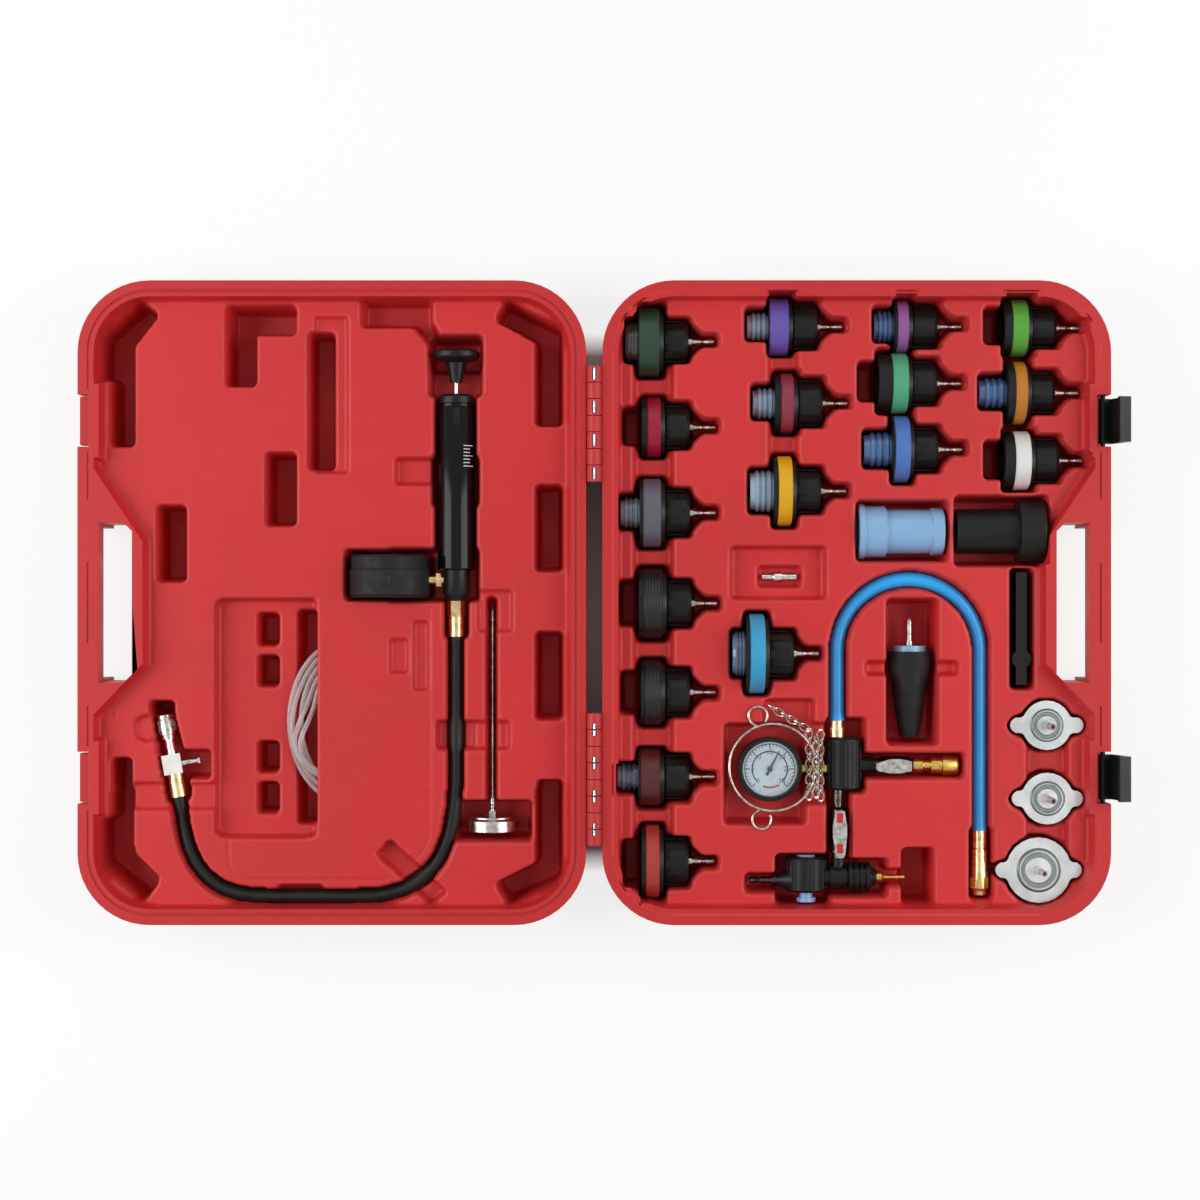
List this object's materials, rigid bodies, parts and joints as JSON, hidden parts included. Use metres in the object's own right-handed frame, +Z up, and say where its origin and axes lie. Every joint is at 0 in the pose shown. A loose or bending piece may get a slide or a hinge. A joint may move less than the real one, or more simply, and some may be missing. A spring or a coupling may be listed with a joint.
{
  "type": "radiator pressure tester kit",
  "caption": "Hinged carry case, lying open, with a hand pump and gauge, radiator neck adapters, caps, sleeves and a vacuum filling tool in moulded pockets.",
  "frame": {"origin": "centre of the underside of the open case", "axes": "+Z up; the base is on +X and the lid on -X; the hinge runs along Y"},
  "size_m": [0.8872, 0.545, 0.0836],
  "materials": {
    "case_red": "blow-moulded polyethylene, fine satin grain",
    "steel": "bright steel",
    "black": "black nylon, satin",
    "rubber": "matt black rubber",
    "lens": "clear lens",
    "needle_red": "painted pointer",
    "brass": "machined brass",
    "chrome": "bright plated",
    "clear_vinyl": "clear vinyl",
    "sleeve_blue": "light-blue plastic",
    "hose_blue": "smooth blue vinyl",
    "ring_green": "coloured plastic ring",
    "ring_crimson": "coloured plastic ring",
    "ring_slate": "coloured plastic ring",
    "ring_brown": "coloured plastic ring",
    "ring_rust": "coloured plastic ring",
    "ring_purple": "coloured plastic ring",
    "ring_maroon": "coloured plastic ring",
    "ring_ochre": "coloured plastic ring",
    "ring_sky": "coloured plastic ring",
    "ring_violet": "coloured plastic ring",
    "ring_teal": "coloured plastic ring",
    "ring_blue": "coloured plastic ring",
    "ring_leaf": "coloured plastic ring",
    "ring_orange": "coloured plastic ring",
    "ring_white": "coloured plastic ring"
  },
  "bodies": {
    "base": {"case_base": "case_red", "hinge_pins": "steel"},
    "lid": {"case_lid": "case_red", "clear_tube": "clear_vinyl"},
    "upper_latch": {"latch_upper": "black"},
    "lower_latch": {"latch_lower": "black"},
    "pump": {"pump_barrel": "black", "pump_end_cap": "black", "pump_valve_block": "black", "gauge_boot": "rubber", "gauge_lens": "lens", "pump_brass": "brass", "pump_hose": "rubber", "tee_block": "chrome"},
    "plunger": {"pump_handle": "black", "pump_rod": "steel", "pump_piston": "rubber"},
    "pressure_needle": {"gauge_needle": "needle_red"},
    "relief": {"relief_pin": "chrome"},
    "coupler_sleeve": {"quick_coupler": "brass"},
    "thermometer_body": {"thermometer": "steel"},
    "vacuum_tool": {"vacuum_gauge_case": "black", "vacuum_gauge_lens": "lens", "manifold_body": "black", "venturi_body": "black", "valve_bodies": "chrome", "venturi_knob": "sleeve_blue", "vacuum_brass": "brass", "hook_ring": "steel", "chain": "brass", "blue_hose": "hose_blue", "blue_hose_fittings": "brass"},
    "vacuum_pointer": {"vacuum_gauge_needle": "black"},
    "upper_lever": {"valve_lever_upper": "chrome"},
    "lower_lever": {"valve_lever_lower": "chrome"},
    "sleeve_blue_piece": {"sleeve_blue": "sleeve_blue"},
    "sleeve_black_piece": {"sleeve_black": "black"},
    "spare_fitting_piece": {"spare_fitting": "chrome"},
    "cone_plug_piece": {"cone_plug": "rubber"},
    "spanner_piece": {"spanner": "black"},
    "cap_small_piece": {"cap_small": "chrome"},
    "cap_medium_piece": {"cap_medium": "chrome"},
    "cap_large_piece": {"cap_large": "chrome"},
    "adapter_green_piece": {"adapter_green": "ring_green"},
    "adapter_crimson_piece": {"adapter_crimson": "ring_crimson"},
    "adapter_slate_piece": {"adapter_slate": "ring_slate"},
    "adapter_ribbed_upper_piece": {"adapter_ribbed_upper": "black"},
    "adapter_ribbed_lower_piece": {"adapter_ribbed_lower": "black"},
    "adapter_brown_piece": {"adapter_brown": "ring_brown"},
    "adapter_rust_piece": {"adapter_rust": "ring_rust"},
    "adapter_purple_piece": {"adapter_purple": "ring_purple"},
    "adapter_maroon_piece": {"adapter_maroon": "ring_maroon"},
    "adapter_ochre_piece": {"adapter_ochre": "ring_ochre"},
    "adapter_sky_piece": {"adapter_sky": "ring_sky"},
    "adapter_violet_piece": {"adapter_violet": "ring_violet"},
    "adapter_teal_piece": {"adapter_teal": "ring_teal"},
    "adapter_blue_piece": {"adapter_blue": "ring_blue"},
    "adapter_leaf_piece": {"adapter_leaf": "ring_leaf"},
    "adapter_orange_piece": {"adapter_orange": "ring_orange"},
    "adapter_white_piece": {"adapter_white": "ring_white"}
  },
  "joints": [
    {"name": "lid_hinge", "type": "hinge", "parent": "base", "child": "lid", "pos_m": [-0.0068, 0, 0.06415], "axis": [0, 1, 0], "range_deg": [0, 180]},
    {"name": "upper_latch_hinge", "type": "hinge", "parent": "base", "child": "upper_latch", "pos_m": [0.4255, 0.154, 0.052], "axis": [0, -1, 0], "range_deg": [-85, 15.8]},
    {"name": "lower_latch_hinge", "type": "hinge", "parent": "base", "child": "lower_latch", "pos_m": [0.4255, -0.148, 0.052], "axis": [0, -1, 0], "range_deg": [-85, 15.8]},
    {"name": "plunger_slide", "type": "slide", "parent": "pump", "child": "plunger", "axis": [0, 1, 0], "range_m": [-0.007, 0.007]},
    {"name": "upper_valve", "type": "hinge", "parent": "vacuum_tool", "child": "upper_lever", "pos_m": [0.25, -0.139, 0.051], "axis": [0, 0, 1], "range_deg": [0, 90]},
    {"name": "lower_valve", "type": "hinge", "parent": "vacuum_tool", "child": "lower_lever", "pos_m": [0.202, -0.194, 0.051], "axis": [0, 0, 1], "range_deg": [0, 90]},
    {"name": "pressure_pointer", "type": "hinge", "parent": "pump", "child": "pressure_needle", "pos_m": [-0.182, 0.034, 0.0375], "axis": [0, 1, 0], "range_deg": [0, 270]},
    {"name": "vacuum_pointer_turn", "type": "hinge", "parent": "vacuum_tool", "child": "vacuum_pointer", "pos_m": [0.143, -0.142, 0.044], "axis": [0, 0, 1], "range_deg": [0, 240]},
    {"name": "relief_press", "type": "slide", "parent": "pump", "child": "relief", "axis": [0.9848, 0.1736, 0], "range_m": [0, 0.003]},
    {"name": "coupler_pull", "type": "slide", "parent": "pump", "child": "coupler_sleeve", "axis": [0.1736, -0.9848, 0], "range_m": [0, 0.003]},
    {"name": "vacuum_tool_lift", "type": "slide", "parent": "base", "child": "vacuum_tool", "axis": [0, 0, -1], "range_m": [-0.1, 0]},
    {"name": "pump_lift", "type": "slide", "parent": "lid", "child": "pump", "axis": [0, 0, -1], "range_m": [-0.1, 0]},
    {"name": "thermometer_lift", "type": "slide", "parent": "lid", "child": "thermometer_body", "axis": [0, 0, -1], "range_m": [-0.1, 0]},
    {"name": "sleeve_blue_lift", "type": "slide", "parent": "base", "child": "sleeve_blue_piece", "axis": [0, 0, -1], "range_m": [-0.1, 0]},
    {"name": "sleeve_black_lift", "type": "slide", "parent": "base", "child": "sleeve_black_piece", "axis": [0, 0, -1], "range_m": [-0.1, 0]},
    {"name": "spare_fitting_lift", "type": "slide", "parent": "base", "child": "spare_fitting_piece", "axis": [0, 0, -1], "range_m": [-0.1, 0]},
    {"name": "cone_plug_lift", "type": "slide", "parent": "base", "child": "cone_plug_piece", "axis": [0, 0, -1], "range_m": [-0.1, 0]},
    {"name": "spanner_lift", "type": "slide", "parent": "base", "child": "spanner_piece", "axis": [0, 0, -1], "range_m": [-0.1, 0]},
    {"name": "cap_small_lift", "type": "slide", "parent": "base", "child": "cap_small_piece", "axis": [0, 0, -1], "range_m": [-0.1, 0]},
    {"name": "cap_medium_lift", "type": "slide", "parent": "base", "child": "cap_medium_piece", "axis": [0, 0, -1], "range_m": [-0.1, 0]},
    {"name": "cap_large_lift", "type": "slide", "parent": "base", "child": "cap_large_piece", "axis": [0, 0, -1], "range_m": [-0.1, 0]},
    {"name": "adapter_green_lift", "type": "slide", "parent": "base", "child": "adapter_green_piece", "axis": [0, 0, -1], "range_m": [-0.1, 0]},
    {"name": "adapter_crimson_lift", "type": "slide", "parent": "base", "child": "adapter_crimson_piece", "axis": [0, 0, -1], "range_m": [-0.1, 0]},
    {"name": "adapter_slate_lift", "type": "slide", "parent": "base", "child": "adapter_slate_piece", "axis": [0, 0, -1], "range_m": [-0.1, 0]},
    {"name": "adapter_ribbed_upper_lift", "type": "slide", "parent": "base", "child": "adapter_ribbed_upper_piece", "axis": [0, 0, -1], "range_m": [-0.1, 0]},
    {"name": "adapter_ribbed_lower_lift", "type": "slide", "parent": "base", "child": "adapter_ribbed_lower_piece", "axis": [0, 0, -1], "range_m": [-0.1, 0]},
    {"name": "adapter_brown_lift", "type": "slide", "parent": "base", "child": "adapter_brown_piece", "axis": [0, 0, -1], "range_m": [-0.1, 0]},
    {"name": "adapter_rust_lift", "type": "slide", "parent": "base", "child": "adapter_rust_piece", "axis": [0, 0, -1], "range_m": [-0.1, 0]},
    {"name": "adapter_purple_lift", "type": "slide", "parent": "base", "child": "adapter_purple_piece", "axis": [0, 0, -1], "range_m": [-0.1, 0]},
    {"name": "adapter_maroon_lift", "type": "slide", "parent": "base", "child": "adapter_maroon_piece", "axis": [0, 0, -1], "range_m": [-0.1, 0]},
    {"name": "adapter_ochre_lift", "type": "slide", "parent": "base", "child": "adapter_ochre_piece", "axis": [0, 0, -1], "range_m": [-0.1, 0]},
    {"name": "adapter_sky_lift", "type": "slide", "parent": "base", "child": "adapter_sky_piece", "axis": [0, 0, -1], "range_m": [-0.1, 0]},
    {"name": "adapter_violet_lift", "type": "slide", "parent": "base", "child": "adapter_violet_piece", "axis": [0, 0, -1], "range_m": [-0.1, 0]},
    {"name": "adapter_teal_lift", "type": "slide", "parent": "base", "child": "adapter_teal_piece", "axis": [0, 0, -1], "range_m": [-0.1, 0]},
    {"name": "adapter_blue_lift", "type": "slide", "parent": "base", "child": "adapter_blue_piece", "axis": [0, 0, -1], "range_m": [-0.1, 0]},
    {"name": "adapter_leaf_lift", "type": "slide", "parent": "base", "child": "adapter_leaf_piece", "axis": [0, 0, -1], "range_m": [-0.1, 0]},
    {"name": "adapter_orange_lift", "type": "slide", "parent": "base", "child": "adapter_orange_piece", "axis": [0, 0, -1], "range_m": [-0.1, 0]},
    {"name": "adapter_white_lift", "type": "slide", "parent": "base", "child": "adapter_white_piece", "axis": [0, 0, -1], "range_m": [-0.1, 0]}
  ]
}
